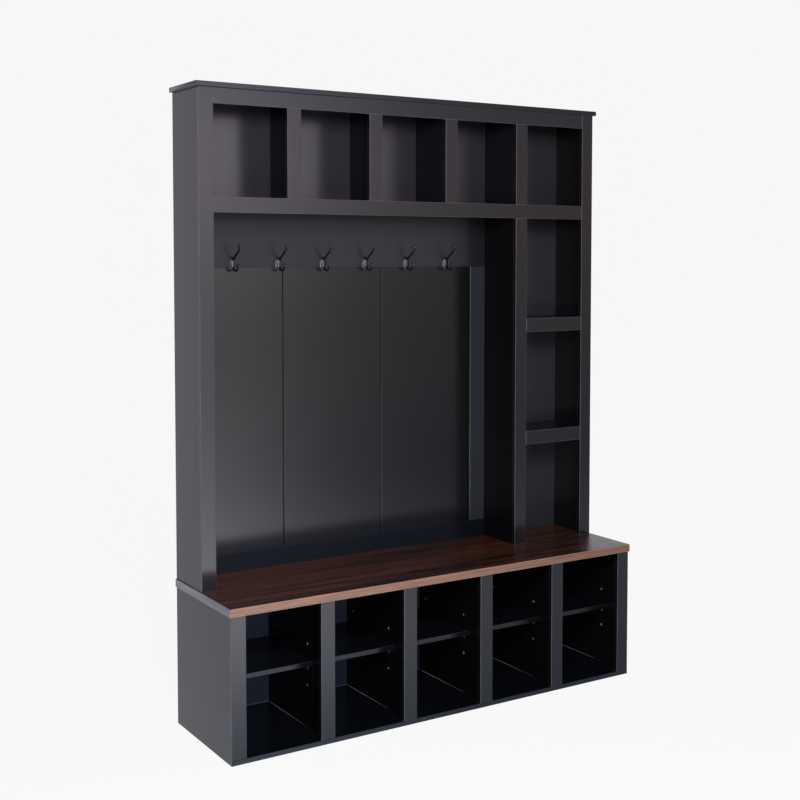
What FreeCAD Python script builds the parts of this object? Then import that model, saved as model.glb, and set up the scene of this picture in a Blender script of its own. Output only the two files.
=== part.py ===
import FreeCAD, Part
import Sketcher
import math
import os

# Hall stand with a bench: an open base of five bays, a bench board, and a hutch with a coat bay,
# a column of three open bays and a row of five cubbies under the crown board.
# Millimetres, +X to the right seen from the front, +Y to the back, +Z up.
# The origin is on the floor under the middle of the whole stand.

# Driving sizes: name, value, what it sets.
SIZES = (
    ("stand_width", 1500.0, "base and hutch, over their sides"),
    ("base_depth", 400.0, "face of the base stiles to the back"),
    ("bench_height", 455.0, "floor to the top of the bench board"),
    ("total_height", 1962.0, "floor to the top of the crown board"),
    ("board_thickness", 15.0, "sides, dividers, floors and back boards"),
    ("bench_thickness", 25.0, "bench board"),
    ("bench_overhang", 4.0, "bench board past the base, at the front and both ends"),
    ("crown_thickness", 15.0, "crown board"),
    ("crown_end_overhang", 10.0, "crown board past the hutch sides"),
    ("crown_front_overhang", 7.5, "crown board past the hutch stiles"),
    ("frame_width", 47.0, "stiles and rails, seen from the front"),
    ("frame_thickness", 15.0, "stiles and rails, front to back"),
    ("edge_bevel", 0.8, "small bevel on the edges that show"),
    ("hutch_setback", 203.5, "face of the base stiles back to the face of the hutch stiles"),
    ("cubby_height", 272.0, "clear height of a cubby between its rails"),
    ("hook_rail_height", 198.0, "board that carries the hooks"),
    ("foot_rail_height", 60.0, "back board just above the bench"),
    ("groove_bevel", 3.0, "bevel on each side of a V joint in the back boards"),
    ("shelf_depth", 300.0, "adjustable shelf, front to back"),
    ("shelf_side_gap", 1.0, "adjustable shelf to each wall of its bay"),
    ("shelf_back_gap", 1.0, "adjustable shelf to the back panel"),
    ("shelf_seat_gap", 0.3, "adjustable shelf to the supports under it"),
    ("pin_height", 210.0, "floor to the row of shelf pins in use"),
    ("pin_pitch", 64.0, "from one row of pin holes to the next"),
    ("front_pin_inset", 118.0, "face of the base stiles to the front pins"),
    ("rear_pin_inset", 40.0, "back panel to the rear pins"),
    ("pin_diameter", 5.0, "pin of a shelf support"),
    ("pin_depth", 6.5, "pin hole into a wall"),
    ("pin_fit", 0.05, "room all round a pin in its hole"),
    ("pin_end_gap", 0.5, "room at the blind end of a pin hole"),
    ("support_width", 10.0, "shelf support, along the wall"),
    ("support_ledge", 9.0, "ledge of a shelf support, out from the wall"),
    ("support_wall", 1.6, "sheet of a shelf support"),
    ("support_rise", 4.5, "middle of the pin up to the top of the ledge"),
    ("support_drop", 14.0, "middle of the pin down to the foot of the support"),
    ("hook_inset", 172.5, "inner face of the hutch side to the first hook"),
    ("hook_end_inset", 169.9, "last hook to the face of the column divider"),
    ("hook_rise", 13.0, "lower edge of the hook rail to the middle of a hook plate"),
    ("plate_width", 24.0, "oval plate of a hook"),
    ("plate_height", 46.0, "oval plate of a hook"),
    ("plate_rim", 1.6, "thickness of the plate at its rim"),
    ("plate_step", 2.0, "rim left round the dome of a hook plate"),
    ("plate_crown", 4.6, "height of the dome off the board"),
    ("plate_round", 2.4, "bevel round the edge of the dome"),
    ("prong_diameter", 6.0, "round bar of both prongs"),
    ("prong_stub", 6.0, "straight start of both prongs, out of the plate"),
    ("upper_root", 14.5, "middle of the plate up to the upper prong"),
    ("upper_bend", 14.0, "radius where the upper prong turns up"),
    ("upper_shank", 44.0, "sloping straight of the upper prong"),
    ("upper_curl", 15.0, "radius where the upper prong turns upright"),
    ("upper_neck", 6.0, "straight under the upper tip"),
    ("lower_root", 13.0, "middle of the plate down to the lower prong"),
    ("lower_dip", 12.0, "radius where the lower prong turns down"),
    ("lower_shank", 3.0, "straight at the foot of the dip"),
    ("lower_curl", 18.0, "radius of the bowl of the lower prong"),
    ("lower_neck", 3.0, "straight under the lower tip"),
    ("tip_width", 10.0, "rounded tip of a prong, across"),
    ("upper_tip_height", 15.0, "rounded tip of the upper prong"),
    ("lower_tip_height", 12.0, "rounded tip of the lower prong"),
    ("tip_round", 2.8, "bevel at both ends of a rounded tip"),
)

# Directions of the prongs in degrees above level, at each of their straights.
ANGLES = (
    ("upper_slope", 34.0, "sloping straight of the upper prong"),
    ("upper_end_slope", 72.0, "upper tip"),
    ("lower_slope", -38.0, "foot of the dip of the lower prong"),
    ("lower_end_slope", 78.0, "lower tip"),
)

# How many there are of what repeats.
BAYS = 5
COLUMN_BAYS = 3
HOOKS = 6
PIN_ROWS = 3

# Flat sides of the small round pieces, which repeat many times.
PIN_SIDES = 8
BAR_SIDES = 8
OVAL_SIDES = 20

# Half a turn in degrees, and the letters of the three directions.
HALF_TURN = 180.0
AXES = "xyz"

# Joints between the upright back boards, as shares of the width behind the coat bay.
BACK_JOINT_SHARES = (0.3031, 0.6213, 0.9395)

doc = FreeCAD.newDocument("hall_stand")
sheet = doc.addObject("Spreadsheet::Sheet", "sizes")


class Size:
    """A length, or an angle, with its number and the sheet formula that gives it."""

    def __init__(self, value, formula):
        self.value = value
        self.formula = formula

    def __add__(self, other):
        return Size(self.value + other.value, f"({self.formula} + {other.formula})")

    def __sub__(self, other):
        return Size(self.value - other.value, f"({self.formula} - {other.formula})")

    def __neg__(self):
        return Size(-self.value, f"(-1 * {self.formula})")

    def __mul__(self, other):
        """Times a plain count or another size's factor."""
        if isinstance(other, Size):
            return Size(self.value * other.value, f"({self.formula} * {other.formula})")
        return Size(self.value * other, f"({self.formula} * {other:g})")

    def __truediv__(self, count):
        return Size(self.value / count, f"({self.formula} / {count})")


def fill_sheet():
    """Writes the driving sizes into the sheet and hands them back by name."""
    named = {}
    for row, (name, value, meaning) in enumerate(SIZES + ANGLES, start=1):
        sheet.set(f"A{row}", meaning)
        sheet.set(f"B{row}", str(value))
        sheet.setAlias(f"B{row}", name)
        named[name] = Size(value, f"sizes.{name}")
    doc.recompute()
    return named


def sine(angle):
    return Size(math.sin(math.radians(angle.value)), f"sin({angle.formula})")


def cosine(angle):
    return Size(math.cos(math.radians(angle.value)), f"cos({angle.formula})")


def bind(thing, path, size):
    """Ties one property of an object to the sheet."""
    thing.setExpression(path, size.formula)


size = fill_sheet()
ZERO = Size(0.0, "0")

# Planes and lines that the pieces share, worked out from the driving sizes.
board = size["board_thickness"]
frame = size["frame_width"]
frame_depth = size["frame_thickness"]
left = -size["stand_width"] / 2
right = size["stand_width"] / 2
inner_left = left + board
inner_right = right - board
bench_front = -(size["base_depth"] + size["bench_overhang"]) / 2
base_front = bench_front + size["bench_overhang"]
base_inside = base_front + frame_depth
back = base_front + size["base_depth"]
back_face = back - board
bench_top_z = size["bench_height"]
bench_under = bench_top_z - size["bench_thickness"]
hutch_front = base_front + size["hutch_setback"]
hutch_inside = hutch_front + frame_depth
crown_under = size["total_height"] - size["crown_thickness"]
top_rail_under = crown_under - frame
cubby_rail_top = top_rail_under - size["cubby_height"]
cubby_rail_under = cubby_rail_top - frame
cubby_floor_under = cubby_rail_top - board
opening = (size["stand_width"] - frame * (BAYS + 1)) / BAYS
stile_pitch = opening + frame
column_rails = frame * (COLUMN_BAYS - 1)
column_opening = (cubby_rail_under - bench_top_z - column_rails) / COLUMN_BAYS
hook_rail_under = cubby_floor_under - size["hook_rail_height"]
foot_rail_top = bench_top_z + size["foot_rail_height"]
hook_z = hook_rail_under + size["hook_rise"]

# One opening is one gap between stiles; the stiles are counted from 0 at the left.
RIGHT_STILE = BAYS
COLUMN_STILE = BAYS - 1

# Two places closer than this share of the edge bevel are one.
SAME_PLACE_SHARE = 0.001
same_place = size["edge_bevel"].value * SAME_PLACE_SHARE

made = []


def stile_left(number):
    """Left edge of a stile of the base or the hutch."""
    return left + stile_pitch * number


def stile_middle(number):
    return stile_left(number) + frame / 2


def new_body(name, corner):
    """A body named for its piece, with its own zero at the given corner."""
    body = doc.addObject("PartDesign::Body", name)
    body.Label = name
    for axis, place in zip(AXES, corner):
        bind(body, f"Placement.Base.{axis}", place)
    made.append(body)
    return body


def plane_of(body, role):
    return next(item for item in body.Origin.OriginFeatures if item.Role == role)


def new_sketch(body, name, role, offset=ZERO):
    """A sketch on one of the body's own planes, moved along the plane's normal by an offset."""
    sketch = body.newObject("Sketcher::SketchObject", name)
    sketch.AttachmentSupport = [(plane_of(body, role), "")]
    sketch.MapMode = "FlatFace"
    bind(sketch, "AttachmentOffset.Base.z", offset)
    return sketch


def hold(sketch, kind, items, length, name):
    """Adds one dimension to a sketch and ties it to the sheet."""
    number = sketch.addConstraint(Sketcher.Constraint(kind, *items, length.value))
    sketch.renameConstraint(number, name)
    bind(sketch, f"Constraints.{name}", length)


def place_point(sketch, geometry, end, across, up, name):
    """Holds one point of a sketch at its distances from the sketch's zero."""
    if across is ZERO:
        sketch.addConstraint(Sketcher.Constraint("PointOnObject", geometry, end, -2))
    else:
        hold(sketch, "DistanceX", (-1, 1, geometry, end), across, f"{name}_across")
    if up is ZERO:
        sketch.addConstraint(Sketcher.Constraint("PointOnObject", geometry, end, -1))
    else:
        hold(sketch, "DistanceY", (-1, 1, geometry, end), up, f"{name}_up")


def draw_outline(sketch, points):
    """A closed outline of straight lines through points given as sizes."""
    corners = [FreeCAD.Vector(across.value, up.value, 0) for across, up in points]
    count = len(corners)
    first = sketch.GeometryCount
    for number, corner in enumerate(corners):
        following = corners[(number + 1) % count]
        sketch.addGeometry(Part.LineSegment(corner, following), False)
    for number in range(count):
        following = first + (number + 1) % count
        sketch.addConstraint(Sketcher.Constraint("Coincident", first + number, 2, following, 1))
    for number, (across, up) in enumerate(points, start=first):
        place_point(sketch, number, 1, across, up, f"corner_{number + 1}")


def ring(middle, half_across, half_up, sides):
    """Corners of a regular outline round a middle, drawn in a circle or an oval.

    Corner n lies at 2n + 1 half turns over the number of sides, so the top side is level.
    """
    corners = []
    for number in range(sides):
        turn = HALF_TURN * (2 * number + 1) / sides
        angle = Size(turn, f"{turn:g}")
        across = middle[0] + half_across * cosine(angle)
        corners.append((across, middle[1] + half_up * sine(angle)))
    return corners


def round_ring(middle, diameter, sides):
    return ring(middle, diameter / 2, diameter / 2, sides)


class Board:
    """A board cut from sheet, standing between two corners, which can be bevelled and drilled."""

    # The faces of a board: plane of the sketch, which end of the board, direction, and whether
    # a hole in the face runs along the sketch's own normal.
    FACES = {
        "left": ("YZ_Plane", "near", "x", True),
        "right": ("YZ_Plane", "far", "x", False),
        "front": ("XZ_Plane", "near", "y", False),
        "rear": ("XZ_Plane", "far", "y", True),
        "bottom": ("XY_Plane", "near", "z", True),
        "top": ("XY_Plane", "far", "z", False),
    }

    def __init__(self, name, across, deep, tall, outline=None):
        self.name = name
        self.corner = (across[0], deep[0], tall[0])
        self.extent = (across[1] - across[0], deep[1] - deep[0], tall[1] - tall[0])
        self.body = new_body(name, self.corner)
        sketch = new_sketch(self.body, f"{name}_outline", "XY_Plane")
        width, depth, height = self.extent
        draw_outline(sketch, outline or ((ZERO, ZERO), (width, ZERO), (width, depth), (ZERO, depth)))
        pad = self.body.newObject("PartDesign::Pad", f"{name}_board")
        pad.Profile = sketch
        bind(pad, "Length", height)
        sketch.Visibility = False
        doc.recompute()
        self.pad = pad

    def edge(self, first, second):
        """Names of the board's edges between two of its faces."""
        wanted = {}
        for face in (first, second):
            _, end, letter, _ = self.FACES[face]
            axis = AXES.index(letter)
            wanted[axis] = self.extent[axis].value if end == "far" else 0.0
        found = []
        for number, edge in enumerate(self.pad.Shape.Edges, start=1):
            spots = [vertex.Point for vertex in edge.Vertexes]
            if all(abs(spot[axis] - at) < same_place for spot in spots for axis, at in wanted.items()):
                found.append(f"Edge{number}")
        return found

    def bevel(self, pairs, amount):
        """Bevels the edges between the given pairs of faces."""
        names = [edge for pair in pairs for edge in self.edge(*pair)]
        chamfer = self.body.newObject("PartDesign::Chamfer", f"{self.name}_bevel")
        chamfer.Base = (self.pad, names)
        bind(chamfer, "Size", amount)
        doc.recompute()
        self.check_cut(chamfer, self.pad)
        return self

    def drill(self, face, spots, diameter, depth, name):
        """Blind holes of one size into a face, at spots in the stand's own frame along the face."""
        plane, end, letter, along = self.FACES[face]
        axis = AXES.index(letter)
        offset = ZERO
        if end == "far":
            offset = -self.extent[axis] if letter == "y" else self.extent[axis]
        first, second = [item for item in range(len(AXES)) if item != axis]
        sketch = new_sketch(self.body, f"{self.name}_{name}_spots", plane, offset)
        for one, two in spots:
            local = (one - self.corner[first], two - self.corner[second])
            draw_outline(sketch, round_ring(local, diameter, PIN_SIDES))
        sketch.Visibility = False
        before = self.body.Tip
        pocket = self.body.newObject("PartDesign::Pocket", f"{self.name}_{name}")
        pocket.Profile = sketch
        pocket.Type = "Length"
        pocket.Reversed = along
        bind(pocket, "Length", depth)
        doc.recompute()
        self.check_cut(pocket, before)
        return pocket

    def repeat_up(self, pocket, rows, pitch, name):
        """Repeats a pocket upwards by a pitch."""
        pattern = self.body.newObject("PartDesign::LinearPattern", f"{self.name}_{name}")
        pattern.Originals = [pocket]
        pattern.Direction = (plane_of(self.body, "Z_Axis"), [""])
        pattern.Occurrences = rows
        bind(pattern, "Length", pitch * (rows - 1))
        self.body.Tip = pattern
        doc.recompute()
        self.check_cut(pattern, pocket)

    def check_cut(self, after, before):
        """A cut that takes nothing away has missed the board."""
        if not after.Shape.Volume < before.Shape.Volume:
            raise ValueError(f"{after.Name} cuts nothing")


FRONT_UPRIGHT = (("front", "left"), ("front", "right"))
REAR_UPRIGHT = (("rear", "left"), ("rear", "right"))
FRONT_LEVEL = (("front", "top"), ("front", "bottom"))
ALL_ROUND = tuple((one, two) for one in ("top", "bottom") for two in ("left", "right", "front", "rear"))
CORNERS = FRONT_UPRIGHT + REAR_UPRIGHT


def upright(name, edge, front, low, high):
    """A stile: its front edges are bevelled."""
    stile = Board(name, (edge, edge + frame), (front, front + frame_depth), (low, high))
    return stile.bevel(FRONT_UPRIGHT, size["edge_bevel"])


def level(name, start, end, front, low):
    """A rail between two stiles, bevelled along its front edges and at its ends."""
    rail = Board(name, (start, end), (front, front + frame_depth), (low, low + frame))
    return rail.bevel(FRONT_LEVEL + FRONT_UPRIGHT, size["edge_bevel"])


# Base: bottom board, five bays of two sides and four dividers, back panel, six stiles.
def base_bottom():
    """Bottom board: as wide as the base under the stiles, and notched round the two sides behind."""
    width = right - left
    depth = back_face - base_front
    outline = (
        (ZERO, ZERO),
        (width, ZERO),
        (width, frame_depth),
        (width - board, frame_depth),
        (width - board, depth),
        (board, depth),
        (board, frame_depth),
        (ZERO, frame_depth),
    )
    bottom = Board("base_bottom", (left, right), (base_front, back_face), (ZERO, board), outline)
    bottom.bevel(FRONT_LEVEL, size["edge_bevel"])


def base_sides():
    walls = []
    for name, start in (("base_left_side", left), ("base_right_side", inner_right)):
        side = Board(name, (start, start + board), (base_inside, back), (ZERO, bench_under))
        walls.append(side.bevel(REAR_UPRIGHT, size["edge_bevel"]))
    return walls


def base_dividers():
    walls = []
    for number in range(1, BAYS):
        start = stile_middle(number) - board / 2
        name = f"base_divider_{number}"
        walls.append(Board(name, (start, start + board), (base_inside, back_face), (board, bench_under)))
    return walls


def pin_holes(wall, face):
    """Rows of pin holes, at the front and the rear of one face of a wall."""
    low = size["pin_height"] - size["pin_pitch"]
    bore = size["pin_diameter"] + size["pin_fit"] * 2
    spots = [(front_pin_y, low), (rear_pin_y, low)]
    pocket = wall.drill(face, spots, bore, size["pin_depth"], f"{face}_pin_holes")
    wall.repeat_up(pocket, PIN_ROWS, size["pin_pitch"], f"{face}_pin_rows")


front_pin_y = base_front + size["front_pin_inset"]
rear_pin_y = back_face - size["rear_pin_inset"]
base_bottom()
left_wall, right_wall = base_sides()
dividers = base_dividers()
walls = [left_wall] + dividers + [right_wall]
for wall in walls[:-1]:
    pin_holes(wall, "right")
for wall in walls[1:]:
    pin_holes(wall, "left")
Board("base_back_panel", (inner_left, inner_right), (back_face, back), (ZERO, bench_under))
for number in range(RIGHT_STILE + 1):
    upright(f"base_stile_{number + 1}", stile_left(number), base_front, board, bench_under)

# Bench board.
bench_ends = (left - size["bench_overhang"], right + size["bench_overhang"])
bench = Board("bench_top", bench_ends, (bench_front, back), (bench_under, bench_top_z))
bench.bevel(ALL_ROUND + CORNERS, size["edge_bevel"])

# Hutch: sides, crown board, cubby floor and dividers, column divider and shelves.
for name, start in (("hutch_left_side", left), ("hutch_right_side", inner_right)):
    side = Board(name, (start, start + board), (hutch_inside, back), (bench_top_z, crown_under))
    side.bevel(REAR_UPRIGHT, size["edge_bevel"])
crown_ends = (left - size["crown_end_overhang"], right + size["crown_end_overhang"])
crown_front = hutch_front - size["crown_front_overhang"]
crown = Board("crown_board", crown_ends, (crown_front, back), (crown_under, size["total_height"]))
crown.bevel(ALL_ROUND + CORNERS, size["edge_bevel"])
cubby_floor_z = (cubby_floor_under, cubby_rail_top)
Board("cubby_floor", (inner_left, inner_right), (hutch_inside, back_face), cubby_floor_z)


def cubby_divider(number):
    """A cubby divider is flush with the edge of its stile that is nearer the middle of the stand."""
    start = stile_left(number)
    if number * 2 < RIGHT_STILE:
        start = start + frame - board
    tall = (cubby_rail_top, crown_under)
    Board(f"cubby_divider_{number}", (start, start + board), (hutch_inside, back_face), tall)


for number in range(1, BAYS):
    cubby_divider(number)
column_left = stile_left(COLUMN_STILE)
column_tall = (bench_top_z, cubby_floor_under)
column_edges = (column_left, column_left + board)
Board("column_divider", column_edges, (hutch_inside, back_face), column_tall)
column_shelf_tops = []
for number in range(1, COLUMN_BAYS):
    top = bench_top_z + (column_opening + frame) * number
    column_shelf_tops.append(top)
    edges = (column_left + board, inner_right)
    Board(f"column_shelf_{number}", edges, (hutch_inside, back_face), (top - board, top))

# Hutch frame: the stiles stand from the bench to the crown board or between the rails.
upright("left_stile", left, hutch_front, bench_top_z, crown_under)
upright("right_stile", stile_left(RIGHT_STILE), hutch_front, bench_top_z, crown_under)
rail_ends = (left + frame, stile_left(RIGHT_STILE))
level("top_rail", *rail_ends, hutch_front, top_rail_under)
level("cubby_rail", *rail_ends, hutch_front, cubby_rail_under)
for number in range(1, BAYS):
    upright(f"cubby_stile_{number}", stile_left(number), hutch_front, cubby_rail_top, top_rail_under)
upright("column_stile", column_left, hutch_front, bench_top_z, cubby_rail_under)
for number, top in enumerate(column_shelf_tops, start=1):
    level(f"column_rail_{number}", column_left + frame, stile_left(RIGHT_STILE), hutch_front, top - frame)

# Back of the hutch: a plain panel behind the cubbies and one behind the column, and between them
# boards with V joints. The joint under the column divider is hidden behind its middle.
column_back_left = column_left + board / 2
upper_tall = (cubby_floor_under, crown_under)
Board("upper_back_panel", (inner_left, inner_right), (back_face, back), upper_tall)
column_back_tall = (bench_top_z, cubby_floor_under)
column_back_ends = (column_back_left, inner_right)
Board("column_back_panel", column_back_ends, (back_face, back), column_back_tall)
coat_ends = (inner_left, column_back_left)
hook_rail_tall = (hook_rail_under, cubby_floor_under)
hook_rail = Board("hook_rail", coat_ends, (back_face, back), hook_rail_tall)
hook_rail.bevel((("front", "bottom"),), size["groove_bevel"])
foot_rail = Board("lower_back_rail", coat_ends, (back_face, back), (bench_top_z, foot_rail_top))
foot_rail.bevel((("front", "top"),), size["groove_bevel"])


def back_boards():
    """Upright boards between the two rails, bevelled at every joint with a neighbour."""
    across = column_back_left - inner_left
    joints = [inner_left + across * share for share in BACK_JOINT_SHARES]
    edges = [inner_left] + joints + [column_back_left]
    for number, (start, end) in enumerate(zip(edges, edges[1:]), start=1):
        tall = (foot_rail_top, hook_rail_under)
        panel = Board(f"back_board_{number}", (start, end), (back_face, back), tall)
        pairs = list(FRONT_LEVEL)
        if start is not inner_left:
            pairs.append(("front", "left"))
        if end is not column_back_left:
            pairs.append(("front", "right"))
        panel.bevel(pairs, size["groove_bevel"])


back_boards()

# Adjustable shelves, one to a bay, each resting on four supports.
shelf_under = size["pin_height"] + size["support_rise"] + size["shelf_seat_gap"]
shelf_rear = back_face - size["shelf_back_gap"]
for number, (one, two) in enumerate(zip(walls, walls[1:]), start=1):
    start = one.corner[0] + board + size["shelf_side_gap"]
    end = two.corner[0] - size["shelf_side_gap"]
    deep = (shelf_rear - size["shelf_depth"], shelf_rear)
    shelf = Board(f"adjustable_shelf_{number}", (start, end), deep, (shelf_under, shelf_under + board))
    shelf.bevel(FRONT_LEVEL + FRONT_UPRIGHT, size["edge_bevel"])


def shelf_support():
    """Angle support: a flange down the wall, a ledge under the shelf and a pin in the wall.

    Its zero is the middle of the pin on the face of a wall that stands to its left.
    """
    body = doc.addObject("PartDesign::Body", "shelf_support_master")
    sheet_wall = size["support_wall"]
    ledge = size["support_ledge"]
    top = size["support_rise"]
    foot = -size["support_drop"]
    profile = new_sketch(body, "support_profile", "XZ_Plane")
    points = (
        (ZERO, foot),
        (sheet_wall, foot),
        (sheet_wall, top - sheet_wall),
        (ledge, top - sheet_wall),
        (ledge, top),
        (ZERO, top),
    )
    draw_outline(profile, points)
    pad = body.newObject("PartDesign::Pad", "support_angle")
    pad.Profile = profile
    bind(pad, "Length", size["support_width"])
    pad.SideType = "Symmetric"
    doc.recompute()
    section = new_sketch(body, "support_pin_section", "YZ_Plane")
    draw_outline(section, round_ring((ZERO, ZERO), size["pin_diameter"], PIN_SIDES))
    pin = body.newObject("PartDesign::Pad", "support_pin")
    pin.Profile = section
    bind(pin, "Length", size["pin_depth"] - size["pin_end_gap"])
    pin.Reversed = True
    doc.recompute()
    return body


def group(name, master, places):
    """Copies of one master piece, each a solid of its own, kept as one sub-part."""
    copies = []
    for place, turn in places:
        spot = FreeCAD.Vector(*(item.value for item in place))
        turned = FreeCAD.Rotation(FreeCAD.Vector(0, 0, 1), turn)
        copy = master.Shape.copy()
        copy.Placement = FreeCAD.Placement(spot, turned).multiply(master.Shape.Placement)
        copies.append(copy)
    piece = doc.addObject("Part::Feature", name)
    piece.Label = name
    piece.Shape = Part.makeCompound(copies)
    piece.Placement = FreeCAD.Placement()
    made.append(piece)


support_places = []
for one, two in zip(walls, walls[1:]):
    for pin_y in (front_pin_y, rear_pin_y):
        support_places.append(((one.corner[0] + board, pin_y, size["pin_height"]), 0))
        support_places.append(((two.corner[0], pin_y, size["pin_height"]), HALF_TURN))
group("shelf_supports", shelf_support(), support_places)

# Coat hooks: an oval plate with a dome, and an upper and a lower prong swept from round bar.
class Route:
    """The middle line of a prong in the upright plane through the plate, built straight by straight.

    A sketch on that plane runs towards the back, so what stands out from the board is negative.
    """

    def __init__(self, body, name, start_up):
        self.sketch = new_sketch(body, name, "YZ_Plane")
        self.out = ZERO
        self.up = start_up
        self.heading = ZERO
        self.last = None
        self.count = 0

    def point(self):
        return FreeCAD.Vector(-self.out.value, self.up.value, 0)

    def straight(self, length):
        """A straight in the present direction."""
        start = self.point()
        self.out = self.out + length * cosine(self.heading)
        self.up = self.up + length * sine(self.heading)
        number = self.sketch.addGeometry(Part.LineSegment(start, self.point()), False)
        name = f"straight_{number + 1}"
        if self.last is None:
            self.sketch.addConstraint(Sketcher.Constraint("Horizontal", number))
            self.sketch.addConstraint(Sketcher.Constraint("PointOnObject", number, 1, -2))
            hold(self.sketch, "DistanceY", (-1, 1, number, 1), self.up, "root")
        else:
            self.join(number)
            hold(self.sketch, "Angle", (number,), self.sketch_angle(), f"{name}_slope")
        hold(self.sketch, "Distance", (number,), length, f"{name}_length")
        self.last = (number, 2)

    def sketch_angle(self):
        """Direction of a straight in the sketch, where outwards is 180 degrees."""
        turned = HALF_TURN - self.heading.value
        return Size(math.radians(turned), f"({HALF_TURN:g} - {self.heading.formula})")

    def bend(self, radius, heading):
        """A round bend to a new direction, tangent to the straights on both sides of it."""
        rising = heading.value > self.heading.value
        turn = 1 if rising else -1
        middle_out = self.out - radius * sine(self.heading) * turn
        middle_up = self.up + radius * cosine(self.heading) * turn
        middle = FreeCAD.Vector(-middle_out.value, middle_up.value, 0)
        start = self.point()
        self.out = middle_out + radius * sine(heading) * turn
        self.up = middle_up - radius * cosine(heading) * turn
        end = self.point()
        angles = [math.atan2(spot.y - middle.y, spot.x - middle.x) for spot in (start, end)]
        if rising:
            angles.reverse()
        circle = Part.Circle(middle, FreeCAD.Vector(0, 0, 1), radius.value)
        number = self.sketch.addGeometry(Part.ArcOfCircle(circle, *angles), False)
        near, far = (2, 1) if rising else (1, 2)
        tangent = Sketcher.Constraint("Tangent", *self.last, number, near)
        self.sketch.addConstraint(tangent)
        hold(self.sketch, "Radius", (number,), radius, f"bend_{number + 1}")
        self.last = (number, far)
        self.heading = heading

    def join(self, number):
        """Joins the start of a new straight to the bend before it, tangent to it."""
        self.sketch.addConstraint(Sketcher.Constraint("Tangent", *self.last, number, 1))


def sweep_prong(body, route, root, name):
    """Sweeps the round bar along a route from the plate."""
    section = new_sketch(body, f"{name}_section", "XZ_Plane")
    draw_outline(section, round_ring((ZERO, root), size["prong_diameter"], BAR_SIDES))
    pipe = body.newObject("PartDesign::AdditivePipe", name)
    pipe.Profile = section
    doc.recompute()
    edges = [f"Edge{number}" for number in range(1, len(route.sketch.Shape.Edges) + 1)]
    pipe.Spine = (route.sketch, edges)
    doc.recompute()


def raise_up(body, sketch, length, name):
    """Pads a closed outline."""
    pad = body.newObject("PartDesign::Pad", name)
    pad.Profile = sketch
    bind(pad, "Length", length)
    doc.recompute()
    return pad


def ring_edges(pad, axis, at):
    """Names of the edges of a pad that lie on one level along an axis."""
    found = []
    for number, edge in enumerate(pad.Shape.Edges, start=1):
        if all(abs(vertex.Point[axis] - at.value) < same_place for vertex in edge.Vertexes):
            found.append(f"Edge{number}")
    return found


def bevel_rings(body, pad, axis, levels, amount, name):
    """Bevels a pad all round at the given levels along an axis."""
    chamfer = body.newObject("PartDesign::Chamfer", name)
    chamfer.Base = (pad, [edge for at in levels for edge in ring_edges(pad, axis, at)])
    bind(chamfer, "Size", amount)
    doc.recompute()
    if not chamfer.Shape.Volume < pad.Shape.Volume:
        raise ValueError(f"{name} cuts nothing")


def rounded_tip(body, route, height, name):
    """An upright knob round the end of a prong, bevelled above and below."""
    foot = route.up - height / 2
    sketch = new_sketch(body, f"{name}_ring", "XY_Plane", foot)
    draw_outline(sketch, round_ring((ZERO, -route.out), size["tip_width"], BAR_SIDES))
    pad = raise_up(body, sketch, height, name)
    bevel_rings(body, pad, AXES.index("z"), (foot, foot + height), size["tip_round"], f"{name}_bevel")


def hook_plate(body, name):
    """An oval rim flat against the board, and on it a smaller oval with a bevelled edge."""
    half_width = size["plate_width"] / 2
    half_height = size["plate_height"] / 2
    rim = new_sketch(body, f"{name}_rim_oval", "XZ_Plane")
    draw_outline(rim, ring((ZERO, ZERO), half_width, half_height, OVAL_SIDES))
    raise_up(body, rim, size["plate_rim"], f"{name}_rim")
    dome = new_sketch(body, f"{name}_dome_oval", "XZ_Plane")
    inset = size["plate_step"]
    draw_outline(dome, ring((ZERO, ZERO), half_width - inset, half_height - inset, OVAL_SIDES))
    crown_pad = raise_up(body, dome, size["plate_crown"], f"{name}_dome")
    levels = (-size["plate_crown"],)
    bevel_rings(body, crown_pad, AXES.index("y"), levels, size["plate_round"], f"{name}_bevel")


first_hook = inner_left + size["hook_inset"]
hook_span = column_left - size["hook_end_inset"] - first_hook
hook_middles = [first_hook + hook_span * number / (HOOKS - 1) for number in range(HOOKS)]


def upper_route(body):
    route = Route(body, "upper_route", size["upper_root"])
    route.straight(size["prong_stub"])
    route.bend(size["upper_bend"], size["upper_slope"])
    route.straight(size["upper_shank"])
    route.bend(size["upper_curl"], size["upper_end_slope"])
    route.straight(size["upper_neck"])
    return route


def lower_route(body):
    route = Route(body, "lower_route", -size["lower_root"])
    route.straight(size["prong_stub"])
    route.bend(size["lower_dip"], size["lower_slope"])
    route.straight(size["lower_shank"])
    route.bend(size["lower_curl"], size["lower_end_slope"])
    route.straight(size["lower_neck"])
    return route


def double_hook():
    """A double coat hook, its zero on the face of the hook rail at the middle of its plate.

    The tips are bevelled while they stand apart; the prongs then join them to the plate.
    """
    body = doc.addObject("PartDesign::Body", "double_hook_master")
    body.AllowCompound = True
    hook_plate(body, "hook_plate")
    upper = upper_route(body)
    lower = lower_route(body)
    rounded_tip(body, upper, size["upper_tip_height"], "upper_tip")
    rounded_tip(body, lower, size["lower_tip_height"], "lower_tip")
    sweep_prong(body, upper, size["upper_root"], "upper_prong")
    sweep_prong(body, lower, -size["lower_root"], "lower_prong")
    return body


hook = double_hook()
for number, middle in enumerate(hook_middles, start=1):
    piece = doc.addObject("Part::Feature", f"coat_hook_{number}")
    piece.Label = f"coat_hook_{number}"
    piece.Shape = hook.Shape.copy()
    for axis, place in zip(AXES, (middle, back_face, hook_z)):
        bind(piece, f"Placement.Base.{axis}", place)
    made.append(piece)


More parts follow.
